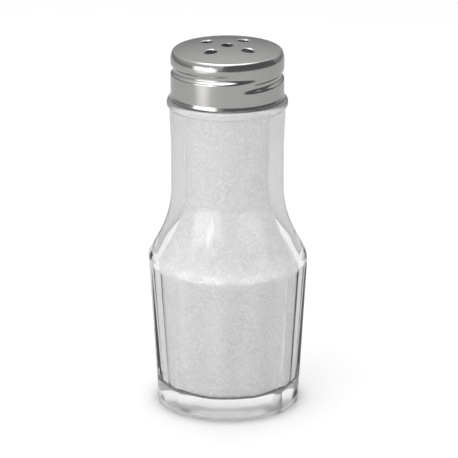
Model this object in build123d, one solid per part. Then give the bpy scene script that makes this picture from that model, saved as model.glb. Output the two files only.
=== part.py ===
from build123d import *
import os
from math import ceil, cos, pi, radians, sin, sqrt, tan

# A table salt shaker: a thick pressed-glass jar with panelled sides, the salt in it, and a screw cap
# stamped from one piece of steel sheet with its thread rolled into the skirt.
# Sizes are in millimetres. The origin is on the jar's axis, on the table; +Z is up and -Y is the front.

# Glass body, outside
BASE_RADIUS = 20.45  # round of the upright edges at the table
SHOULDER_RADIUS = 22.9  # where the body's taper and the shoulder's slope would meet
SHOULDER_HEIGHT = 43.0
SHOULDER_ROUNDING = 4.0
SHOULDER_SLOPE = 28.3  # degrees from upright
BASE_ROUNDING = 1.2
PANEL_COUNT = 12
PANEL_DEPTH = 0.62  # how far the middle of a panel lies inside the round
PANEL_TURN = 11.4  # degrees from +X to the nearest upright edge, clockwise from above
PUNT_RADIUS = 14.5  # hollow under the base, inside the ring that the jar stands on
PUNT_DEPTH = 0.9

# Neck and the bead ring that the cap comes down to
NECK_RADIUS = 15.78
NECK_SWEEP = 31.0  # radius of the curve from shoulder to neck
NECK_FLARE_HEIGHT = 76.0
NECK_TOP_RADIUS = 16.25
BEAD_BOTTOM = 87.3
BEAD_THICKNESS = 2.5
BEAD_BULGE = 1.5  # how far the bead's middle stands out past its top
LEDGE_WIDTH = 1.0  # flat top of the bead, outside the finish

# Inside of the glass
FLOOR_THICKNESS = 6.0
BODY_WALL = 3.5
SHOULDER_DROP = 1.0  # how far the hollow's shoulder lies below the glass's shoulder
BORE_RADIUS = 11.85
HOLLOW_ROUNDING = 3.0

# Threaded finish under the cap
FINISH_RADIUS = 14.4
FINISH_HEIGHT = 13.15
RIM_ROUNDING = 1.0

# Screw thread, shared by glass and cap: right-handed, one start
THREAD_PITCH = 3.0
THREAD_DROP = 4.15  # from the glass rim down to the middle of the cap's rolled groove at the front
POINTS_PER_TURN = 24
FADE_GAP = 0.1  # how far past the surface a thread's end has faded

# Thread on the glass: a rounded bar, half a pitch above the cap's groove
GLASS_THREAD_RISE = 0.55
GLASS_THREAD_CREST = 0.5
GLASS_THREAD_ROOT = 1.5
GLASS_THREAD_FROM = -0.92  # turns from the front, along the thread
GLASS_THREAD_TURNS = 1.25
GLASS_THREAD_FADE = 0.07  # turns over which each end fades

# Cap
SHEET = 0.4
DOME_RISE = 1.75
EDGE_ROUNDING = 2.6
LIP_HEIGHT = 1.0
LIP_FLARE = 0.25

# Groove rolled into the cap's skirt, which stands out inside as its thread
GROOVE_DEPTH = 0.75
GROOVE_FLOOR = 0.5
GROOVE_ABOVE = 1.9  # from the groove's middle up to its gentle upper edge
GROOVE_BELOW = 1.3  # and down to its steep lower edge
GROOVE_TO = 0.108  # turns from the front to the groove's upper end
GROOVE_TURNS = 1.073
GROOVE_UPPER_FADE = 0.13
GROOVE_LOWER_FADE = 0.06

# Shaker holes: one in the middle and a ring round it
HOLE_DIAMETER = 3.4
HOLE_RING_RADIUS = 7.2
HOLE_RING_COUNT = 4
HOLE_RING_TURN = -39.0  # degrees from +X to the first hole of the ring

# Clearances
SKIRT_GAP = 1.0  # cap's skirt to the glass finish
SEAT_GAP = 0.2  # cap's underside over the glass rim
LIP_GAP = 0.3  # cap's lower edge over the bead ring
SALT_GAP = 0.3  # salt to glass
SALT_LEVEL = 91.0

OVERSHOOT = 2.0  # how far a cutting form runs past what it cuts
ARC_SAG = 0.2  # how far a straight run may lie inside the arc that it stands for

# Heights and radii that follow from the sizes above
ledge_height = BEAD_BOTTOM + BEAD_THICKNESS
rim_height = ledge_height + FINISH_HEIGHT
thread_height = rim_height - THREAD_DROP
rim_middle = (FINISH_RADIUS + BORE_RADIUS) / 2
bead_top_radius = FINISH_RADIUS + LEDGE_WIDTH
bead_radius = bead_top_radius + BEAD_BULGE
cap_radius = FINISH_RADIUS + SKIRT_GAP + SHEET
dome_radius = (cap_radius**2 + DOME_RISE**2) / (2 * DOME_RISE)
dome_centre = rim_height + SEAT_GAP - sqrt((dome_radius - SHEET) ** 2 - rim_middle**2)
lip_bottom = ledge_height + LIP_GAP


def neck_corner(corner_radius, corner_height, neck_radius):
    """Height where the shoulder's slope, from the given corner, reaches the neck's radius."""
    return corner_height + (corner_radius - neck_radius) / tan(radians(SHOULDER_SLOPE))


def turned(outline):
    """Solid turned about Z from a closed face drawn with X as radius and Y as height.

    An arc is turned as short straight runs within ARC_SAG of it, which keeps its surface light.
    """
    runs = []
    for edge in outline.edges():
        count = 1
        if edge.geom_type == GeomType.CIRCLE:
            count = ceil(edge.length / sqrt(8 * edge.radius * ARC_SAG))
        stops = [edge @ (step / count) for step in range(count + 1)]
        runs += [Line(start, end) for start, end in zip(stops, stops[1:])]
    return revolve(Plane.XZ * make_face(runs), Axis.Z)


def hollow_side(inset, top):
    """Inside of the glass from the axis at the floor up to a height, drawn in by an inset."""
    floor = FLOOR_THICKNESS + inset
    bore = BORE_RADIUS - inset
    low = BASE_RADIUS - BODY_WALL - inset
    shoulder = SHOULDER_RADIUS - BODY_WALL - inset
    shoulder_height = SHOULDER_HEIGHT - SHOULDER_DROP - inset
    return FilletPolyline(
        (0, floor),
        (low, floor),
        (shoulder, shoulder_height),
        (bore, neck_corner(shoulder, shoulder_height, bore)),
        (bore, top),
        radius=[HOLLOW_ROUNDING, SHOULDER_ROUNDING, NECK_SWEEP + BODY_WALL],
    )


def turned_glass():
    """The jar before its panels and thread: punt, tapered body, shoulder, neck, bead, finish and hollow."""
    corner = neck_corner(SHOULDER_RADIUS, SHOULDER_HEIGHT, NECK_RADIUS)
    punt = ThreePointArc((-PUNT_RADIUS, 0), (0, PUNT_DEPTH), (PUNT_RADIUS, 0)).trim(0.5, 1)
    side = FilletPolyline(
        (PUNT_RADIUS, 0),
        (BASE_RADIUS, 0),
        (SHOULDER_RADIUS, SHOULDER_HEIGHT),
        (NECK_RADIUS, corner),
        (NECK_RADIUS, NECK_FLARE_HEIGHT),
        radius=[BASE_ROUNDING, SHOULDER_ROUNDING, NECK_SWEEP],
    )
    flare = TangentArc(side @ 1, (NECK_TOP_RADIUS, BEAD_BOTTOM), tangent=(0, 1))
    bead_middle = BEAD_BOTTOM + BEAD_THICKNESS / 2
    bead = ThreePointArc(flare @ 1, (bead_radius, bead_middle), (bead_top_radius, ledge_height))
    ledge = Line(bead @ 1, (FINISH_RADIUS, ledge_height))
    finish = FilletPolyline(
        ledge @ 1,
        (FINISH_RADIUS, rim_height),
        (BORE_RADIUS, rim_height),
        (BORE_RADIUS, ledge_height),
        radius=RIM_ROUNDING,
    )
    inside = hollow_side(0, ledge_height)
    axis = Line(punt @ 0, inside @ 0)
    return turned(make_face([punt, side, flare, bead, ledge, finish, inside, axis]))


def panel_trim():
    """Ring that cuts the flat panels round the tapered body and ends in shallow arches at the shoulder."""
    taper = (SHOULDER_RADIUS - BASE_RADIUS) / SHOULDER_HEIGHT
    top = SHOULDER_HEIGHT + SHOULDER_ROUNDING

    def panels(height):
        flat = BASE_RADIUS - PANEL_DEPTH + taper * height
        outline = RegularPolygon(flat, PANEL_COUNT, major_radius=False)
        return Plane.XY.offset(height) * Rot(0, 0, -PANEL_TURN) * outline

    prism = loft([panels(-OVERSHOOT), panels(top)])
    upright = (Align.CENTER, Align.CENTER, Align.MIN)
    ring = Cylinder(SHOULDER_RADIUS + OVERSHOOT, top + OVERSHOOT / 2, align=upright)
    return Pos(0, 0, -OVERSHOOT / 2) * ring - prism


def thread_bar(section, radius, height, from_turn, turns, swing, lower_fade, upper_fade):
    """Bar wound along the thread, whose ends swing out, or in, so that what it makes fades away.

    The section is drawn with X towards the axis, from the given radius, and Y up. Turns are counted from
    the front, and rise anticlockwise seen from above, as a right-hand thread does.
    """
    steps = round(turns * POINTS_PER_TURN)
    points = []
    for step in range(steps + 1):
        along = turns * step / steps
        near_end = min(along / lower_fade, (turns - along) / upper_fade, 1)
        fade = 1 - near_end**2 * (3 - 2 * near_end)
        reach = radius + swing * fade
        angle = 2 * pi * (from_turn + along) - pi / 2
        points.append((reach * cos(angle), reach * sin(angle), height + THREAD_PITCH * (from_turn + along)))
    path = Spline(*points)
    begin = path @ 0
    start = Plane(origin=begin, x_dir=(-begin.X, -begin.Y, 0), z_dir=path % 0)
    axis = Line((0, 0, begin.Z), (0, 0, (path @ 1).Z))
    return sweep(start * section, path=path, binormal=axis)


def glass_thread():
    """Thread that stands out of the glass finish, with its root sunk into the glass."""
    slope = (GLASS_THREAD_ROOT - GLASS_THREAD_CREST) / GLASS_THREAD_RISE
    sunk = GLASS_THREAD_ROOT + slope * GLASS_THREAD_RISE
    section = make_face(
        Polyline(
            (-GLASS_THREAD_RISE, GLASS_THREAD_CREST / 2),
            (GLASS_THREAD_RISE, sunk / 2),
            (GLASS_THREAD_RISE, -sunk / 2),
            (-GLASS_THREAD_RISE, -GLASS_THREAD_CREST / 2),
            close=True,
        )
    )
    return thread_bar(
        section,
        FINISH_RADIUS,
        thread_height + THREAD_PITCH / 2,
        GLASS_THREAD_FROM,
        GLASS_THREAD_TURNS,
        -GLASS_THREAD_RISE - FADE_GAP,
        GLASS_THREAD_FADE,
        GLASS_THREAD_FADE,
    )


def glass_jar():
    """Pressed-glass jar: panelled body, waisted neck, bead ring and threaded finish."""
    return turned_glass() - panel_trim() + glass_thread()


def cap_form(inset):
    """Outer form of the cap drawn in by an inset: skirt with its flared lip, rounded edge and shallow dome."""
    skirt = cap_radius - inset
    crown = dome_centre + dome_radius - inset
    edge = dome_centre + sqrt((dome_radius - inset) ** 2 - skirt**2)
    lip = lip_bottom + LIP_HEIGHT
    flare = TangentArc((skirt, lip), (skirt + LIP_FLARE, lip_bottom), tangent=(0, -1))
    below = Polyline(flare @ 1, (0, lip_bottom), (0, crown))
    dome = RadiusArc((0, crown), (skirt, edge), dome_radius - inset)
    wall = Line((skirt, edge), (skirt, lip))
    outline = make_face([flare, below, dome, wall])
    corner = outline.vertices().sort_by_distance((skirt, edge))[0]
    return turned(fillet(corner, EDGE_ROUNDING - inset))


def groove_bar(sheet):
    """Bar that rolls the thread into the skirt; with the sheet's thickness added, the ridge inside."""
    above = 2 * GROOVE_ABOVE - GROOVE_FLOOR / 2
    below = 2 * GROOVE_BELOW - GROOVE_FLOOR / 2
    roller = make_face(
        Polyline(
            (-GROOVE_DEPTH, above),
            (GROOVE_DEPTH, GROOVE_FLOOR / 2),
            (GROOVE_DEPTH, -GROOVE_FLOOR / 2),
            (-GROOVE_DEPTH, -below),
            close=True,
        )
    )
    section = offset(roller, sheet, kind=Kind.INTERSECTION) if sheet else roller
    return thread_bar(
        section,
        cap_radius,
        thread_height,
        GROOVE_TO - GROOVE_TURNS,
        GROOVE_TURNS,
        GROOVE_DEPTH + FADE_GAP,
        GROOVE_LOWER_FADE,
        GROOVE_UPPER_FADE,
    )


def shaker_holes():
    """Punches for the middle hole and the ring of holes round it."""
    length = EDGE_ROUNDING + DOME_RISE + OVERSHOOT
    punch = Cylinder(HOLE_DIAMETER / 2, length)
    height = dome_centre + dome_radius - length / 4
    ring = PolarLocations(HOLE_RING_RADIUS, HOLE_RING_COUNT, start_angle=HOLE_RING_TURN)
    places = [Location((0, 0, 0))] + list(ring)
    return [Pos(0, 0, height) * place * punch for place in places]


def screw_cap():
    """One-piece steel cap: dome with shaker holes, rolled thread groove and flared lip."""
    outside = cap_form(0) - groove_bar(0)
    inside = cap_form(SHEET) - groove_bar(SHEET)
    return outside - inside - shaker_holes()


def salt_fill():
    """Table salt that fills the jar to just above the bead ring."""
    side = hollow_side(SALT_GAP, SALT_LEVEL)
    close = Polyline(side @ 1, (0, SALT_LEVEL), side @ 0)
    return turned(make_face([side, close]))


parts = {"glass_jar": glass_jar, "screw_cap": screw_cap, "salt_fill": salt_fill}

os.makedirs("parts", exist_ok=True)
for name, make in parts.items():
    piece = make()
    piece.label = name
    export_step(piece, f"parts/{name}.step")
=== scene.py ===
"""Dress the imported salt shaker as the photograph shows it.

Sizes in the classes are millimetres, as on a maker's drawing, and become metres when a mesh is made.
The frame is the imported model's own: +Z up, -Y towards the camera, the origin on the table.
"""

import logging
import math
from collections.abc import Callable
from dataclasses import dataclass
from enum import Enum

import bmesh
import bpy
from mathutils import Matrix, Vector


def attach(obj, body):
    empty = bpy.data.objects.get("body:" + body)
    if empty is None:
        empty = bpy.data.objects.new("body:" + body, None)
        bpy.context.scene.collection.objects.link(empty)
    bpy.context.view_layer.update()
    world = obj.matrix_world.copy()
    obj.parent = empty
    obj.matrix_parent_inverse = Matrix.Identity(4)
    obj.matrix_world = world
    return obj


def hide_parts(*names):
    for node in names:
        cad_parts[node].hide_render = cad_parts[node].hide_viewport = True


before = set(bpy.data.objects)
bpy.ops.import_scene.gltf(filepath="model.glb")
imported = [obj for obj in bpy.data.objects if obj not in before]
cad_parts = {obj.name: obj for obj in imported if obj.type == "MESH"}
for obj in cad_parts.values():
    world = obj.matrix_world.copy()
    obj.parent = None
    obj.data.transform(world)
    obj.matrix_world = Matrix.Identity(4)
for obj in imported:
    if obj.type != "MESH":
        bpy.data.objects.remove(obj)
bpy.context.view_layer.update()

log = logging.getLogger("salt_shaker")

MM = 0.001
FULL_TURN = 2 * math.pi
# A turned shape is spun through one sector, and the sector is copied round the turn.
SECTORS = 12
# A rounded corner has at least this many steps.
ARC_STEPS = 4


def srgb(hex_code: str) -> tuple[float, float, float, float]:
    """Turn an sRGB hex colour to linear light.

    Args:
        hex_code: Six hex digits after a hash, such as "#F4F3F1".

    Returns:
        Red, green, blue and an alpha of 1.
    """
    shares = [int(hex_code[place : place + 2], 16) / 255 for place in (1, 3, 5)]
    linear = [s / 12.92 if s <= 0.04045 else ((s + 0.055) / 1.055) ** 2.4 for s in shares]
    return (*linear, 1.0)


def eased(share: float) -> float:
    """Ease a share from 0 to 1 so that it starts and ends level, held within those ends."""
    held = min(max(share, 0.0), 1.0)
    return held * held * (3 - 2 * held)


def soft_min(first: float, second: float, softness: float) -> float:
    """The smaller of two lengths, blended over a stretch where they are nearly equal.

    Args:
        first: One length.
        second: The other.
        softness: How close they come before they blend.

    Returns:
        The blended smaller length.
    """
    near = max(softness - abs(first - second), 0.0)
    return min(first, second) - near * near / (4 * softness)


@dataclass(frozen=True)
class Corner:
    """A corner of a turned outline.

    Args:
        radius: Distance from the axis.
        height: Height above the table.
        rounding: Radius of the curve that rounds the corner, or 0 for a sharp one.
    """

    radius: float
    height: float
    rounding: float = 0.0

    def place(self) -> Vector:
        """The corner as a point, radius first and height second."""
        return Vector((self.radius, self.height))


def straight_stops(start: Vector, end: Vector, step: Callable[[float], float]) -> list[Vector]:
    """Stops along a straight stretch of outline.

    Args:
        start: Where it starts, which is left out.
        end: Where it ends, which is kept.
        step: The distance between stops at a height.

    Returns:
        The stops in order.
    """
    run = end - start
    stops = []
    gone = step(start.y)
    while gone < run.length - step(end.y) / 2:
        stops.append(start + run.normalized() * gone)
        gone += step(stops[-1].y)
    return [*stops, end]


def rounded_outline(corners: list[Corner], step: Callable[[float], float]) -> list[Vector]:
    """Walk an outline from its first corner to its last, round each rounded corner.

    Args:
        corners: The corners in order.
        step: The distance between stops at a height.

    Returns:
        Points of radius and height.
    """
    stops = [corners[0].place()]
    for before, corner, after in zip(corners, corners[1:], corners[2:]):
        place = corner.place()
        inward = (before.place() - place).normalized()
        onward = (after.place() - place).normalized()
        half = inward.angle(onward) / 2
        if corner.rounding == 0:
            stops += straight_stops(stops[-1], place, step)
            continue
        reach = corner.rounding / math.tan(half)
        centre = place + (inward + onward).normalized() * corner.rounding / math.sin(half)
        start = place + inward * reach
        stops += straight_stops(stops[-1], start, step)
        swept = math.pi - 2 * half
        count = max(ARC_STEPS, math.ceil(corner.rounding * swept / step(place.y)))
        turn = math.copysign(swept / count, onward.cross(inward))
        for _ in range(count):
            stops.append(centre + Matrix.Rotation(turn, 2) @ (stops[-1] - centre))
    return stops + straight_stops(stops[-1], corners[-1].place(), step)


def turn_outline(
    mesh: bmesh.types.BMesh, outline: list[Vector], columns: int, start: float = 0.0
) -> list[bmesh.types.BMVert]:
    """Spin an outline about the upright axis, one sector first and then its copies round the turn.

    Args:
        mesh: Takes the surface.
        outline: Points of radius and height in millimetres.
        columns: Columns in each of the turn's sectors.
        start: Angle from +X of the first column.

    Returns:
        The vertices that were added.
    """
    old = set(mesh.verts)
    direction = Vector((math.cos(start), math.sin(start), 0))
    line = [mesh.verts.new((direction * p.x + Vector((0, 0, p.y))) * MM) for p in outline]
    edges = [mesh.edges.new(pair) for pair in zip(line, line[1:])]
    sector = FULL_TURN / SECTORS
    axis = {"cent": (0, 0, 0), "axis": (0, 0, 1)}
    bmesh.ops.spin(mesh, geom=line + edges, angle=sector, steps=columns, **axis)
    first = [v for v in mesh.verts if v not in old]
    whole = [*first]
    whole += {edge for vertex in first for edge in vertex.link_edges}
    whole += {face for vertex in first for face in vertex.link_faces}
    for number in range(1, SECTORS):
        copies = bmesh.ops.duplicate(mesh, geom=whole)["geom"]
        moved = [v for v in copies if isinstance(v, bmesh.types.BMVert)]
        turned = Matrix.Rotation(sector * number, 3, "Z")
        bmesh.ops.rotate(mesh, cent=(0, 0, 0), matrix=turned, verts=moved)
    return [v for v in mesh.verts if v not in old]


def link_object(name: str, data: bpy.types.ID) -> bpy.types.Object:
    """Make an object and link it to the scene.

    Args:
        name: The object's name.
        data: Its mesh, lamp or camera.

    Returns:
        The object.
    """
    piece = bpy.data.objects.new(name, data)
    bpy.context.scene.collection.objects.link(piece)
    return piece


def mesh_object(mesh: bmesh.types.BMesh, name: str) -> bpy.types.Object:
    """Make an object of a mesh as it is.

    Args:
        mesh: The finished shape, which is freed.
        name: Name of the object and its mesh.

    Returns:
        The object, linked to the scene.
    """
    data = bpy.data.meshes.new(name)
    mesh.to_mesh(data)
    mesh.free()
    return link_object(name, data)


def closed_mesh(mesh: bmesh.types.BMesh, name: str) -> bpy.types.Object:
    """Close a mesh's seams, turn its faces outwards and make it a smooth object.

    Args:
        mesh: The finished shape, which is freed.
        name: Name of the object and its mesh.

    Returns:
        The object, linked to the scene.
    """
    bmesh.ops.remove_doubles(mesh, verts=mesh.verts, dist=0.001 * MM)
    bmesh.ops.recalc_face_normals(mesh, faces=mesh.faces)
    for face in mesh.faces:
        face.smooth = True
    return mesh_object(mesh, name)


def add_node(
    tree: bpy.types.NodeTree, kind: str, inputs: dict[str | int, object], **settings: object
) -> bpy.types.Node:
    """Add a node with its settings, values and links.

    Args:
        tree: The node tree.
        kind: The node's type.
        inputs: Values by socket name or number; a socket as a value is linked.
        **settings: Attributes of the node.

    Returns:
        The node.
    """
    node = tree.nodes.new(kind)
    for key, value in settings.items():
        setattr(node, key, value)
    for key, value in inputs.items():
        if isinstance(value, bpy.types.NodeSocket):
            tree.links.new(value, node.inputs[key])
        else:
            node.inputs[key].default_value = value
    return node


def new_material(name: str) -> tuple[bpy.types.Material, bpy.types.NodeTree]:
    """Make an empty node material.

    Args:
        name: The material's name.

    Returns:
        The material and its node tree.
    """
    material = bpy.data.materials.new(name)
    material.use_nodes = True
    material.node_tree.nodes.clear()
    return material, material.node_tree


def per_metre(size: float) -> float:
    """Texture scale whose cells are about a size in millimetres across."""
    return 1 / (size * MM)


def uneven(
    tree: bpy.types.NodeTree, place: bpy.types.NodeSocket, size: float, detail: float, height: float
) -> bpy.types.NodeSocket:
    """Make a surface slightly uneven.

    Args:
        tree: The material's node tree.
        place: Coordinates on the object.
        size: How far apart the swells lie, in millimetres.
        detail: How many finer layers of swells lie on them.
        height: How high the swells are, in millimetres.

    Returns:
        The normal.
    """
    swells = add_node(
        tree,
        "ShaderNodeTexNoise",
        {"Vector": place, "Scale": per_metre(size), "Detail": detail},
    )
    bump = add_node(
        tree,
        "ShaderNodeBump",
        {"Height": swells.outputs["Fac"], "Strength": 1.0, "Distance": height * MM},
    )
    return bump.outputs["Normal"]


@dataclass(frozen=True)
class PressedGlass:
    """Soda-lime glass, pressed in an iron mould and fire-polished.

    It is clear and almost colourless, and the mould leaves it slightly wavy, so that edges seen
    through it waver. The bead ring and the finish, where the mould's ring closes and the cap rubs,
    are duller than the rest, and so is the underside, which tables have rubbed.
    """

    tint: str = "#FEFEFE"
    ior: float = 1.52
    finish_bottom: float = 87.5
    finish_dullness: float = 0.35
    finish_clarity: float = 0.82
    foot_top: float = 1.1
    foot_dullness: float = 0.22
    fade: float = 0.5
    wave: float = 9.0
    wave_detail: float = 1.0
    wave_height: float = 0.02

    def material(self) -> bpy.types.Material:
        """Build the glass.

        Returns:
            The material.
        """
        material, tree = new_material("soda_lime_glass_pressed")
        place = add_node(tree, "ShaderNodeTexCoord", {}).outputs["Object"]
        split = add_node(tree, "ShaderNodeSeparateXYZ", {"Vector": place})
        finish_top = self.finish_bottom + self.fade
        fades = (
            (self.finish_bottom, finish_top, 0.0, self.finish_dullness),
            (self.foot_top + self.fade, self.foot_top, 0.0, self.foot_dullness),
            (self.finish_bottom, finish_top, 1.0, self.finish_clarity),
        )
        along = []
        for start, end, low, high in fades:
            fade = add_node(
                tree,
                "ShaderNodeMapRange",
                {
                    "Value": split.outputs["Z"],
                    "From Min": start * MM,
                    "From Max": end * MM,
                    "To Min": low,
                    "To Max": high,
                },
            )
            along.append(fade.outputs["Result"])
        finish_haze, foot_haze, clarity = along
        haze = add_node(tree, "ShaderNodeMath", {0: finish_haze, 1: foot_haze}, operation="MAXIMUM")
        glass = add_node(
            tree,
            "ShaderNodeBsdfPrincipled",
            {
                "Base Color": srgb(self.tint),
                "Roughness": haze.outputs["Value"],
                "IOR": self.ior,
                "Transmission Weight": clarity,
                "Normal": uneven(tree, place, self.wave, self.wave_detail, self.wave_height),
            },
        )
        add_node(tree, "ShaderNodeOutputMaterial", {"Surface": glass.outputs["BSDF"]})
        return material


@dataclass(frozen=True)
class LooseSalt:
    """Table salt, vacuum-pan crystals poured in loose.

    The grains are small clear cubes that scatter light to a bright white, with a fine speckle and
    painted glints: a few grains coloured white in place of faces that catch the light. Real grains
    are about 0.3 mm across, which is hardly more than a pixel of the render, so they are drawn at 0.5
    mm.
    """

    grain: float = 0.5
    relief: float = 0.5
    clump: float = 5.0
    clump_detail: float = 4.0
    shaded: str = "#D6D4D4"
    bright: str = "#FFFDFD"
    clumped: str = "#F6F4F4"
    # Painted glints: the white that the few picked grains are coloured, standing in for faces that
    # catch the light.
    painted_glint_white: str = "#FFFFFF"
    painted_glint_threshold: float = 0.9
    roughness: float = 0.45
    ior: float = 1.54

    def material(self) -> bpy.types.Material:
        """Build the salt.

        Returns:
            The material.
        """
        material, tree = new_material("table_salt_loose")
        place = add_node(tree, "ShaderNodeTexCoord", {}).outputs["Object"]
        grains = add_node(
            tree, "ShaderNodeTexVoronoi", {"Vector": place, "Scale": per_metre(self.grain)}
        )
        # Painted glints: grains whose random colour is highest are mixed to white, as if a face
        # caught the light.
        painted_glint_pick = add_node(tree, "ShaderNodeSeparateColor", {"Color": grains.outputs["Color"]})
        painted_glints = add_node(
            tree,
            "ShaderNodeMapRange",
            {"Value": painted_glint_pick.outputs["Red"], "From Min": self.painted_glint_threshold, "From Max": 1.0},
        )
        clumps = add_node(
            tree,
            "ShaderNodeTexNoise",
            {"Vector": place, "Scale": per_metre(self.clump), "Detail": self.clump_detail},
        )
        tone = srgb(self.shaded)
        layers = (
            (grains.outputs["Color"], self.bright),
            (clumps.outputs["Fac"], self.clumped),
            (painted_glints.outputs["Result"], self.painted_glint_white),
        )
        for share, colour in layers:
            mixed = add_node(
                tree,
                "ShaderNodeMix",
                {"Factor": share, "A": tone, "B": srgb(colour)},
                data_type="RGBA",
            )
            tone = mixed.outputs["Result"]
        bump = add_node(
            tree,
            "ShaderNodeBump",
            {
                "Height": grains.outputs["Distance"],
                "Strength": self.relief,
                "Distance": self.grain * MM / 2,
            },
        )
        salt = add_node(
            tree,
            "ShaderNodeBsdfPrincipled",
            {
                "Base Color": tone,
                "Roughness": self.roughness,
                "IOR": self.ior,
                "Normal": bump.outputs["Normal"],
            },
        )
        add_node(tree, "ShaderNodeOutputMaterial", {"Surface": salt.outputs["BSDF"]})
        return material


@dataclass(frozen=True)
class PolishedSteel:
    """Stainless steel sheet, stamped, rolled and tumble-polished.

    It mirrors the studio with a slight haze, and the stamping leaves the surface faintly uneven.
    """

    tint: str = "#C3C2C0"
    roughness: float = 0.16
    dent: float = 4.0
    dent_detail: float = 2.0
    dent_height: float = 0.006

    def material(self) -> bpy.types.Material:
        """Build the steel.

        Returns:
            The material.
        """
        material, tree = new_material("stainless_steel_polished")
        place = add_node(tree, "ShaderNodeTexCoord", {}).outputs["Object"]
        steel = add_node(
            tree,
            "ShaderNodeBsdfPrincipled",
            {
                "Base Color": srgb(self.tint),
                "Metallic": 1.0,
                "Roughness": self.roughness,
                "Normal": uneven(tree, place, self.dent, self.dent_detail, self.dent_height),
            },
        )
        add_node(tree, "ShaderNodeOutputMaterial", {"Surface": steel.outputs["BSDF"]})
        return material


@dataclass(frozen=True)
class Thread:
    """A single-start right-hand thread, whose turns are counted anticlockwise from the front.

    Args:
        height: Height of its middle at the front.
        lower_end: Turn at which it starts.
        upper_end: Turn at which it ends.
        lower_fade: Turns over which the lower end fades.
        upper_fade: Turns over which the upper end fades.
        floor: Width of its level middle.
        above: From its middle to its upper edge.
        below: From its middle to its lower edge.
        pitch: Rise in one turn.
    """

    height: float
    lower_end: float
    upper_end: float
    lower_fade: float
    upper_fade: float
    floor: float
    above: float
    below: float
    pitch: float = 3.0

    def depth(self, place: Vector) -> float:
        """How deep the thread is at a point.

        Args:
            place: The point in metres.

        Returns:
            Its share of the full depth.
        """
        turn = (math.atan2(place.y, place.x) / FULL_TURN + 0.25) % 1.0
        first = math.floor(self.lower_end - turn)
        turns = [turn + whole for whole in range(first, math.ceil(self.upper_end - turn) + 1)]
        return max(self.section(place.z / MM, t) for t in turns)

    def section(self, height: float, turn: float) -> float:
        """How deep one winding of the thread is.

        Args:
            height: Height in millimetres.
            turn: Turns from the front.

        Returns:
            Its share of the full depth.
        """
        offset = height - self.height - self.pitch * turn
        edge = self.above if offset > 0 else self.below
        flank = eased((edge - abs(offset)) / (edge - self.floor / 2))
        lower = eased((turn - self.lower_end) / self.lower_fade)
        upper = eased((self.upper_end - turn) / self.upper_fade)
        return flank * lower * upper


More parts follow.
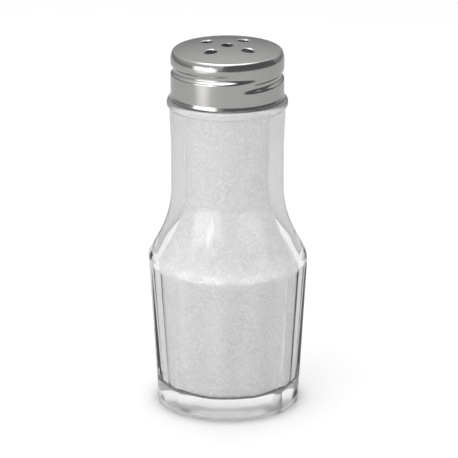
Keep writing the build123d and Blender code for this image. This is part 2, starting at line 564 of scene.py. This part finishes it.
@dataclass
class GlassJar:
    """The pressed-glass jar: panelled body, waisted neck, bead ring and threaded finish."""

    base_radius: float = 20.45
    base_rounding: float = 0.3
    shoulder_radius: float = 22.9
    shoulder_height: float = 43.0
    shoulder_rounding: float = 4.0
    slope: float = 28.3
    panel_count: int = 12
    panel_depth: float = 0.62
    panel_turn: float = 11.4
    panel_softness: float = 0.45
    panel_reach: float = 8.0
    punt_radius: float = 14.5
    punt_depth: float = 0.9
    punt_dish: float = 40.0
    punt_rounding: float = 1.5
    neck_radius: float = 15.78
    neck_sweep: float = 31.0
    neck_flare: float = 60.0
    neck_flare_height: float = 76.0
    neck_top_radius: float = 16.25
    bead_radius: float = 16.9
    bead_bottom: float = 87.3
    bead_root: float = 0.35
    bead_rise: float = 0.3
    bead_rounding: float = 1.0
    ledge_height: float = 89.8
    ledge_fall: float = 0.1
    ledge_rounding: float = 0.4
    floor_height: float = 6.0
    wall: float = 3.5
    shoulder_drop: float = 1.0
    bore_radius: float = 11.85
    hollow_rounding: float = 1.6
    finish_radius: float = 14.4
    rim_height: float = 102.95
    rim_rounding: float = 1.0
    thread_rise: float = 0.55
    thread_room: float = 2.0
    arch_reach: float = 4.0
    arch_step: float = 0.3
    foot_top: float = 3.0
    edge_step: float = 0.35
    plain_step: float = 1.6
    columns: int = 21

    def neck_corner(self, radius: float, height: float, neck: float) -> float:
        """Height where the shoulder's slope reaches the neck.

        Args:
            radius: Radius of the shoulder's corner.
            height: Height of that corner.
            neck: Radius of the neck.

        Returns:
            The height.
        """
        return height + (radius - neck) / math.tan(math.radians(self.slope))

    def row_step(self, height: float) -> float:
        """Distance between rows: fine where the panels end in arches, at the foot and at the top.

        Args:
            height: A height on the outline.

        Returns:
            The distance there.
        """
        if abs(height - self.shoulder_height) < self.arch_reach:
            return self.arch_step
        if height < self.foot_top or height > self.bead_bottom - self.bead_rounding:
            return self.edge_step
        return self.plain_step

    def outside(self) -> list[Corner]:
        """Outline of the outside.

        Returns:
            The corners, from the middle of the punt to the middle of the rim.
        """
        corner = self.neck_corner(self.shoulder_radius, self.shoulder_height, self.neck_radius)
        rim_middle = (self.finish_radius + self.bore_radius) / 2
        return [
            Corner(0, self.punt_depth),
            Corner(self.punt_radius / 2, self.punt_depth, self.punt_dish),
            Corner(self.punt_radius, 0, self.punt_rounding),
            Corner(self.base_radius, 0, self.base_rounding),
            Corner(self.shoulder_radius, self.shoulder_height, self.shoulder_rounding),
            Corner(self.neck_radius, corner, self.neck_sweep),
            Corner(self.neck_radius, self.neck_flare_height, self.neck_flare),
            Corner(self.neck_top_radius, self.bead_bottom, self.bead_root),
            Corner(self.bead_radius, self.bead_bottom + self.bead_rise, self.bead_rounding),
            Corner(self.bead_radius, self.ledge_height - self.ledge_fall, self.bead_rounding),
            Corner(self.finish_radius, self.ledge_height, self.ledge_rounding),
            Corner(self.finish_radius, self.rim_height, self.rim_rounding),
            Corner(rim_middle, self.rim_height),
        ]

    def inside(self, inset: float, top: float) -> list[Corner]:
        """Outline of the hollow, drawn in by an inset.

        Args:
            inset: How far inside the glass's surface it lies.
            top: Height at which it stops on the bore.

        Returns:
            The corners, from the bore down to the axis at the floor.
        """
        bore = self.bore_radius - inset
        floor = self.floor_height + inset
        shoulder = self.shoulder_radius - self.wall - inset
        shoulder_height = self.shoulder_height - self.shoulder_drop - inset
        corner = self.neck_corner(shoulder, shoulder_height, bore)
        return [
            Corner(bore, top),
            Corner(bore, corner, self.neck_sweep + self.wall),
            Corner(shoulder, shoulder_height, self.shoulder_rounding),
            Corner(self.base_radius - self.wall - inset, floor, self.hollow_rounding),
            Corner(0, floor),
        ]

    def cut_panel(self, vertex: bmesh.types.BMVert) -> None:
        """Draw a vertex of the body in to the flat panel that it belongs to.

        Args:
            vertex: A vertex of the outside.
        """
        place = vertex.co
        radius = math.hypot(place.x, place.y) / MM
        share = math.radians(360 / self.panel_count)
        angle = math.atan2(place.y, place.x) + math.radians(self.panel_turn)
        from_middle = angle % share - share / 2
        taper = (self.shoulder_radius - self.base_radius) / self.shoulder_height
        flat = self.base_radius - self.panel_depth + taper * place.z / MM
        pulled = soft_min(radius, flat / math.cos(from_middle), self.panel_softness)
        place.xy *= pulled / radius

    def raise_thread(self, vertex: bmesh.types.BMVert, thread: Thread) -> None:
        """Raise the thread on the finish under a vertex.

        Args:
            vertex: A vertex of the outside.
            thread: The glass thread.
        """
        radius = math.hypot(vertex.co.x, vertex.co.y) / MM
        vertex.co.xy *= 1 + self.thread_rise * thread.depth(vertex.co) / radius

    def build(self) -> bpy.types.Object:
        """Make the jar as one closed wall of glass.

        Returns:
            The glass object.
        """
        mesh = bmesh.new()
        start = -math.radians(self.panel_turn)
        thread = Thread(
            height=100.3,
            lower_end=-0.92,
            upper_end=0.33,
            lower_fade=0.07,
            upper_fade=0.07,
            floor=0.5,
            above=0.75,
            below=0.75,
        )
        outer = rounded_outline(self.outside(), self.row_step)
        body_top = self.shoulder_height + self.panel_reach
        thread_bottom = self.ledge_height + self.thread_room
        bore_top = self.rim_height - self.rim_rounding
        for vertex in turn_outline(mesh, outer, self.columns, start):
            height = vertex.co.z / MM
            radius = math.hypot(vertex.co.x, vertex.co.y) / MM
            if radius > self.punt_radius and height < body_top:
                self.cut_panel(vertex)
            if thread_bottom < height < bore_top:
                self.raise_thread(vertex, thread)
        rim = Corner((self.finish_radius + self.bore_radius) / 2, self.rim_height)
        lip = Corner(self.bore_radius, self.rim_height, self.rim_rounding)
        inner = [rim, lip, *self.inside(0, bore_top)[1:]]
        turn_outline(mesh, rounded_outline(inner, self.row_step), self.columns, start)
        jar = closed_mesh(mesh, "glass_jar_pressed")
        jar.data.materials.append(PressedGlass().material())
        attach(jar, "jar")
        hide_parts("glass_jar")
        return jar


@dataclass
class SaltFilling:
    """The salt, lying against the glass but for the thin air between its grains and the wall."""

    air: float = 0.12
    level: float = 91.0
    row_step: float = 1.0
    columns: int = 20

    def build(self, jar: GlassJar) -> bpy.types.Object:
        """Make the salt.

        Args:
            jar: The jar that it fills.

        Returns:
            The salt object.
        """
        mesh = bmesh.new()
        outline = [Corner(0, self.level), *jar.inside(self.air, self.level)]
        turn_outline(mesh, rounded_outline(outline, lambda height: self.row_step), self.columns)
        salt = closed_mesh(mesh, "salt_loose")
        salt.data.materials.append(LooseSalt().material())
        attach(salt, "salt")
        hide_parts("salt_fill")
        return salt


@dataclass
class ScrewCap:
    """The one-piece steel cap: dome with pouring holes, rolled thread groove and flared lip."""

    radius: float = 15.8
    sheet: float = 0.4
    crown: float = 104.66
    dome_radius: float = 7.11
    dome_rounding: float = 60.0
    rim_radius: float = 15.15
    rim_height: float = 103.3
    rim_rounding: float = 0.8
    edge_height: float = 101.9
    edge_rounding: float = 4.0
    lip_bottom: float = 90.1
    lip_height: float = 1.0
    lip_flare: float = 0.25
    lip_sweep: float = 1.5
    lip_rounding: float = 0.12
    groove_depth: float = 0.78
    hole_diameter: float = 3.4
    hole_ring_radius: float = 7.2
    hole_ring_count: int = 4
    hole_ring_turn: float = -39.0
    hole_ease: float = 0.4
    hole_ease_depth: float = 0.05
    hole_rounding: float = 0.15
    punch_top: float = 0.33
    punch_bottom: float = -2.0
    punch_step: float = 0.5
    punch_columns: int = 5
    hole_step: float = 0.1
    skirt_step: float = 0.22
    dome_step: float = 0.8
    columns: int = 16

    def row_step(self, height: float) -> float:
        """Distance between rows: fine along the skirt and the rim, coarse on the dome."""
        return self.skirt_step if height < self.rim_height + self.sheet / 2 else self.dome_step

    def punch_row_step(self, depth: float) -> float:
        """Distance between rows of a punch: fine where it cuts the sheet."""
        return self.hole_step if depth > -self.sheet else self.punch_step

    def section(self) -> list[Corner]:
        """Outline of the sheet.

        Returns:
            The corners, from the axis over the dome to the lip and back inside.
        """
        inner = self.radius - self.sheet
        lip = self.lip_bottom + self.lip_height
        flared = self.radius + self.lip_flare
        # These two corners keep the slanted stretch about as thick as the rest of the sheet.
        rim_inside = self.rim_radius - self.sheet * 0.8
        edge_inside = self.edge_height - self.sheet / 4
        return [
            Corner(0, self.crown),
            Corner(self.dome_radius, self.crown, self.dome_rounding),
            Corner(self.rim_radius, self.rim_height, self.rim_rounding),
            Corner(self.radius, self.edge_height, self.edge_rounding),
            Corner(self.radius, lip, self.lip_sweep),
            Corner(flared, self.lip_bottom, self.lip_rounding),
            Corner(flared - self.sheet, self.lip_bottom, self.lip_rounding),
            Corner(inner, lip, self.lip_sweep),
            Corner(inner, edge_inside, self.edge_rounding - self.sheet),
            Corner(rim_inside, self.rim_height - self.sheet, self.rim_rounding / 2),
            Corner(self.dome_radius, self.crown - self.sheet, self.dome_rounding),
            Corner(0, self.crown - self.sheet),
        ]

    def hole_punches(self) -> bpy.types.Object:
        """Make the punches for the holes, each widening at the top so that it rounds the rim.

        Returns:
            One object that holds all of them.
        """
        mesh = bmesh.new()
        radius = self.hole_diameter / 2
        profile = [
            Corner(0, self.punch_bottom),
            Corner(radius, self.punch_bottom),
            Corner(radius, -self.hole_ease_depth, self.hole_rounding),
            Corner(radius + self.hole_ease, self.punch_top),
            Corner(0, self.punch_top),
        ]
        outline = rounded_outline(profile, self.punch_row_step)
        ring = [
            math.radians(self.hole_ring_turn) + FULL_TURN * number / self.hole_ring_count
            for number in range(self.hole_ring_count)
        ]
        drop = self.hole_ring_radius**2 / (2 * self.dome_rounding)
        tilt = math.asin(self.hole_ring_radius / self.dome_rounding)
        out = Matrix.Translation(Vector((self.hole_ring_radius, 0, -drop)) * MM)
        places = [Matrix.Identity(4)]
        places += [Matrix.Rotation(a, 4, "Z") @ out @ Matrix.Rotation(tilt, 4, "Y") for a in ring]
        for place in places:
            punch = turn_outline(mesh, outline, self.punch_columns)
            up = Matrix.Translation((0, 0, self.crown * MM))
            bmesh.ops.transform(mesh, matrix=up @ place, verts=punch)
        return closed_mesh(mesh, "hole_punches")

    def build(self) -> bpy.types.Object:
        """Make the cap.

        Returns:
            The cap object.
        """
        mesh = bmesh.new()
        groove = Thread(
            height=98.8,
            lower_end=-0.965,
            upper_end=0.108,
            lower_fade=0.06,
            upper_fade=0.13,
            floor=0.5,
            above=1.9,
            below=1.3,
        )
        sheet = turn_outline(mesh, rounded_outline(self.section(), self.row_step), self.columns)
        for vertex in sheet:
            if self.lip_bottom + self.lip_height < vertex.co.z / MM < self.edge_height:
                radius = math.hypot(vertex.co.x, vertex.co.y) / MM
                vertex.co.xy *= 1 - self.groove_depth * groove.depth(vertex.co) / radius
        solid = closed_mesh(mesh, "cap_blank")
        punches = self.hole_punches()
        cut = solid.modifiers.new("holes", "BOOLEAN")
        cut.object = punches
        cut.operation = "DIFFERENCE"
        cut.solver = "EXACT"
        shaped = solid.evaluated_get(bpy.context.evaluated_depsgraph_get())
        data = bpy.data.meshes.new_from_object(shaped)
        data.name = "screw_cap_polished"
        cap = link_object("screw_cap_polished", data)
        bpy.data.objects.remove(solid)
        bpy.data.objects.remove(punches)
        data.materials.clear()
        data.materials.append(PolishedSteel().material())
        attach(cap, "cap")
        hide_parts("screw_cap")
        return cap


class Side(Enum):
    """Where a card or lamp stands round the shaker, as an azimuth in degrees from the front."""

    LEFT = -50.0
    LEFT_FRONT = -46.0
    NEAR_FRONT = -35.0
    RIGHT_FRONT = 51.0
    BACK = 180.0


def mirrored_only(card: bpy.types.Object) -> None:
    """Let a card show in polished surfaces and nowhere else.

    Args:
        card: The card.
    """
    card.visible_camera = False
    card.visible_shadow = False
    card.visible_diffuse = False
    card.visible_transmission = False


@dataclass(frozen=True)
class DarkCard:
    """A tall curved card of grey felt, which the polished cap mirrors."""

    side: Side = Side.RIGHT_FRONT
    span: float = 120.0
    reach: float = 1100.0
    bottom: float = 20.0
    top: float = 1500.0
    columns: int = 24
    tone: str = "#787878"

    def build(self) -> None:
        """Stand the card round its side."""
        mesh = bmesh.new()
        start = math.radians(self.side.value - self.span / 2)
        across = Vector((math.sin(start), -math.cos(start), 0)) * self.reach
        ends = [mesh.verts.new((across + Vector((0, 0, z))) * MM) for z in (self.bottom, self.top)]
        line = [*ends, mesh.edges.new(ends)]
        axis = {"cent": (0, 0, 0), "axis": (0, 0, 1)}
        bmesh.ops.spin(mesh, geom=line, angle=math.radians(self.span), steps=self.columns, **axis)
        card = mesh_object(mesh, "dark_card")
        material, tree = new_material("grey_felt")
        cloth = add_node(tree, "ShaderNodeBsdfDiffuse", {"Color": srgb(self.tone)})
        add_node(tree, "ShaderNodeOutputMaterial", {"Surface": cloth.outputs["BSDF"]})
        card.data.materials.append(material)
        mirrored_only(card)


@dataclass(frozen=True)
class WhiteCard:
    """A low white card on the floor that glows in its middle, no lamp, seen only in polished
    surfaces, where the cap's skirt mirrors it.
    """

    side: Side = Side.LEFT
    reach: float = 300.0
    width: float = 240.0
    height: float = 100.0
    lift: float = 1.0
    glow: float = 1.45
    core: float = 30.0
    edge: float = 120.0

    def material(self, middle: Vector) -> bpy.types.Material:
        """Card that glows round a point and fades to nothing.

        Args:
            middle: The point in metres.

        Returns:
            The material.
        """
        material, tree = new_material("white_card_glowing")
        place = add_node(tree, "ShaderNodeTexCoord", {})
        out = add_node(
            tree,
            "ShaderNodeVectorMath",
            {0: place.outputs["Object"], 1: middle},
            operation="DISTANCE",
        )
        share = add_node(
            tree,
            "ShaderNodeMapRange",
            {"Value": out.outputs["Value"], "From Min": self.edge * MM, "From Max": self.core * MM},
            interpolation_type="SMOOTHSTEP",
        )
        clear = add_node(tree, "ShaderNodeBsdfTransparent", {})
        glow = add_node(
            tree, "ShaderNodeEmission", {"Color": srgb("#FFFFFF"), "Strength": self.glow}
        )
        soft = add_node(
            tree,
            "ShaderNodeMixShader",
            {0: share.outputs["Result"], 1: clear.outputs["BSDF"], 2: glow.outputs["Emission"]},
        )
        add_node(tree, "ShaderNodeOutputMaterial", {"Surface": soft.outputs["Shader"]})
        return material

    def build(self) -> None:
        """Stand the card on its side of the shaker."""
        mesh = bmesh.new()
        bmesh.ops.create_grid(mesh, x_segments=1, y_segments=1, size=0.5)
        size = Matrix.Diagonal((self.width * MM, self.height * MM, 1.0, 1.0))
        middle = Vector((0, -self.reach, self.height / 2)) * MM
        lifted = Matrix.Translation(middle + Vector((0, 0, self.lift * MM)))
        turned = Matrix.Rotation(math.radians(self.side.value), 4, "Z")
        upright = Matrix.Rotation(math.pi / 2, 4, "X")
        bmesh.ops.transform(mesh, matrix=turned @ lifted @ upright @ size, verts=mesh.verts)
        # The card glows of itself rather than being lit, and shows only as a reflection in polished
        # surfaces.
        card = mesh_object(mesh, "white_card")
        card.data.materials.append(self.material(turned @ middle))
        mirrored_only(card)


@dataclass(frozen=True)
class Softbox:
    """A soft rectangular lamp that faces the shaker.

    Args:
        name: The lamp's name.
        side: Where it stands.
        rise: Degrees above the horizon.
        reach: Distance from the shaker in millimetres.
        width: Its width in millimetres.
        height: Its height in millimetres.
        radiance: How bright its face is, where white paper in the room is nearly 1.
        mirrored: Whether polished surfaces show it.
        softness: How soft its edges are, from near 0 for hard ones to 0.25.
        only_on: The one piece that it lights, or nothing for all of them.
        aim: Height on the shaker's axis that it faces.
    """

    name: str
    side: Side
    rise: float
    reach: float
    width: float
    height: float
    radiance: float
    mirrored: bool = True
    softness: float = 0.2
    only_on: str | None = None
    aim: float = 60.0

    def soften(self, data: bpy.types.AreaLight) -> None:
        """Make the lamp bright in the middle and dim towards its edges.

        Args:
            data: The lamp's data.
        """
        data.use_nodes = True
        tree = data.node_tree
        tree.nodes.clear()
        face = add_node(tree, "ShaderNodeNewGeometry", {})
        across = add_node(tree, "ShaderNodeSeparateXYZ", {"Vector": face.outputs["Parametric"]})
        shares = []
        for axis in ("X", "Y"):
            along = across.outputs[axis]
            left = add_node(tree, "ShaderNodeMath", {0: 1.0, 1: along}, operation="SUBTRACT")
            middle = add_node(
                tree, "ShaderNodeMath", {0: along, 1: left.outputs["Value"]}, operation="MULTIPLY"
            )
            eased_share = add_node(
                tree,
                "ShaderNodeMapRange",
                {"Value": middle.outputs["Value"], "From Max": self.softness},
                interpolation_type="SMOOTHSTEP",
            )
            shares.append(eased_share.outputs["Result"])
        both = add_node(tree, "ShaderNodeMath", {0: shares[0], 1: shares[1]}, operation="MULTIPLY")
        glow = add_node(tree, "ShaderNodeEmission", {"Strength": both.outputs["Value"]})
        add_node(tree, "ShaderNodeOutputLight", {"Surface": glow.outputs["Emission"]})

    def build(self) -> None:
        """Hang the lamp."""
        data = bpy.data.lights.new(self.name, "AREA")
        data.shape = "RECTANGLE"
        data.size, data.size_y = self.width * MM, self.height * MM
        # The face of an area lamp shines as its power over four times its area.
        data.energy = 4 * self.radiance * data.size * data.size_y
        self.soften(data)
        lamp = link_object(self.name, data)
        lamp.visible_glossy = self.mirrored
        if self.only_on is not None:
            lit = bpy.data.collections.new(f"{self.name}_on")
            lit.objects.link(bpy.data.objects[self.only_on])
            lamp.light_linking.receiver_collection = lit
        azimuth, rise = math.radians(self.side.value), math.radians(self.rise)
        across = math.cos(rise)
        back = Vector((math.sin(azimuth) * across, -math.cos(azimuth) * across, math.sin(rise)))
        lamp.location = (Vector((0, 0, self.aim)) + back * self.reach) * MM
        lamp.rotation_euler = back.to_track_quat("Z", "Y").to_euler()


@dataclass
class Studio:
    """White floor, cards, soft lamps and the camera."""

    floor_radius: float = 1000.0
    floor_sides: int = 96
    floor_tone: str = "#BEBEBE"
    camera_place: tuple[float, float, float] = (0.4, -779.9, 323.5)
    camera_target: tuple[float, float, float] = (0.4, 0.0, 50.8)
    camera_roll: float = -0.06
    lens: float = 229.9
    clip_start: float = 50.0
    wall_glow: float = 0.24
    ceiling_glow: float = 1.0
    backdrop_glow: float = 0.96
    # Painted contact shadow: the camera's glow on the paper dims near the jar, by how closed off the
    # paper is towards the back.
    painted_shadow_reach: float = 20.0
    painted_shadow_closed: float = 0.5
    painted_shadow_open: float = 0.66
    painted_shadow_glow: float = 0.16
    paper_glow: float = 0.44
    paper_glow_through: float = 0.06
    lamps: tuple[Softbox, ...] = (
        Softbox("key_softbox", Side.LEFT_FRONT, 68, 700, 850, 440, 1.4),
        Softbox("low_softbox", Side.LEFT_FRONT, 5, 620, 640, 420, 2.3, only_on="screw_cap_polished"),
        Softbox("strip_light", Side.NEAR_FRONT, 14, 800, 70, 360, 4.0),
        Softbox("overhead_softbox", Side.BACK, 70, 700, 560, 380, 2.4),
        Softbox("low_fill", Side.LEFT_FRONT, 9, 1000, 1700, 800, 2.0, False, 0.25),
        Softbox("fill_softbox", Side.RIGHT_FRONT, 12, 1000, 1500, 800, 1.35, False, 0.25),
    )

    def white_paper(self) -> bpy.types.Material:
        """White paper that keeps its shadows, brighter to the camera and a little through the glass.

        What the camera sees darkens near the jar, where the paper is closed off towards the back: a
        painted contact shadow in the camera's glow.

        Returns:
            The material.
        """
        material, tree = new_material("white_paper_matt")
        path = add_node(tree, "ShaderNodeLightPath", {})
        through = add_node(
            tree,
            "ShaderNodeMath",
            {0: path.outputs["Is Transmission Ray"], 1: self.paper_glow_through},
            operation="MULTIPLY",
        )
        # Painted contact shadow: the glow that the camera sees is dimmed where the paper near the jar
        # is closed off towards the back.
        painted_shadow_openness = add_node(
            tree,
            "ShaderNodeAmbientOcclusion",
            {"Distance": self.painted_shadow_reach * MM, "Normal": (0.0, 1.0, 0.0)},
            samples=16,
        )
        glow = add_node(
            tree,
            "ShaderNodeMapRange",
            {
                "Value": painted_shadow_openness.outputs["AO"],
                "From Min": self.painted_shadow_closed,
                "From Max": self.painted_shadow_open,
                "To Min": self.painted_shadow_glow,
                "To Max": self.paper_glow,
            },
        )
        shown = add_node(
            tree,
            "ShaderNodeMath",
            {
                0: path.outputs["Is Camera Ray"],
                1: glow.outputs["Result"],
                2: through.outputs["Value"],
            },
            operation="MULTIPLY_ADD",
        )
        paper = add_node(tree, "ShaderNodeBsdfDiffuse", {"Color": srgb(self.floor_tone)})
        light = add_node(
            tree, "ShaderNodeEmission", {"Color": srgb("#FFFFFF"), "Strength": shown.outputs["Value"]}
        )
        bright = add_node(
            tree, "ShaderNodeAddShader", {0: paper.outputs["BSDF"], 1: light.outputs["Emission"]}
        )
        add_node(tree, "ShaderNodeOutputMaterial", {"Surface": bright.outputs["Shader"]})
        return material

    def floor(self) -> None:
        """Lay the white floor."""
        mesh = bmesh.new()
        bmesh.ops.create_circle(
            mesh, cap_ends=True, segments=self.floor_sides, radius=self.floor_radius * MM
        )
        floor = mesh_object(mesh, "floor")
        floor.data.materials.append(self.white_paper())

    def world(self) -> None:
        """Light the room softly, brighter towards the ceiling.

        The background is white to the camera and nearly so through the glass.
        """
        world = bpy.data.worlds.new("studio")
        bpy.context.scene.world = world
        world.use_nodes = True
        tree = world.node_tree
        tree.nodes.clear()
        path = add_node(tree, "ShaderNodeLightPath", {})
        heading = add_node(tree, "ShaderNodeTexCoord", {})
        split = add_node(tree, "ShaderNodeSeparateXYZ", {"Vector": heading.outputs["Generated"]})
        tone = add_node(
            tree,
            "ShaderNodeMapRange",
            {"Value": split.outputs["Z"], "To Min": self.wall_glow, "To Max": self.ceiling_glow},
        )
        room, pale, white = (
            add_node(
                tree, "ShaderNodeBackground", {"Color": srgb("#FFFFFF"), "Strength": strength}
            ).outputs["Background"]
            for strength in (tone.outputs["Result"], self.backdrop_glow, 1.0)
        )
        seen = room
        for ray, backdrop in (("Is Transmission Ray", pale), ("Is Camera Ray", white)):
            mixed = add_node(
                tree, "ShaderNodeMixShader", {0: path.outputs[ray], 1: seen, 2: backdrop}
            )
            seen = mixed.outputs["Shader"]
        add_node(tree, "ShaderNodeOutputWorld", {"Surface": seen})

    def camera(self) -> None:
        """Place the camera at the photograph's angle."""
        data = bpy.data.cameras.new("camera")
        data.lens = self.lens
        data.sensor_width = 36.0
        data.clip_start = self.clip_start * MM
        camera = link_object("camera", data)
        camera.location = Vector(self.camera_place) * MM
        look = Vector(self.camera_target) * MM - camera.location
        aimed = look.to_track_quat("-Z", "Y").to_matrix().to_4x4()
        roll = Matrix.Rotation(math.radians(self.camera_roll), 4, "Z")
        camera.rotation_euler = (aimed @ roll).to_euler()
        bpy.context.scene.camera = camera

    def build(self) -> None:
        """Set the whole studio."""
        self.floor()
        self.world()
        DarkCard().build()
        WhiteCard().build()
        for lamp in self.lamps:
            lamp.build()
        self.camera()
        bpy.context.scene.view_settings.view_transform = "Standard"


def main() -> None:
    """Build every piece in order, then the studio round them."""
    logging.basicConfig(level=logging.INFO, format="%(message)s")
    jar = GlassJar()
    for piece in (jar.build(), SaltFilling().build(jar), ScrewCap().build()):
        log.info("%s: %d faces", piece.name, len(piece.data.polygons))
    Studio().build()


if __name__ == "__main__":
    main()
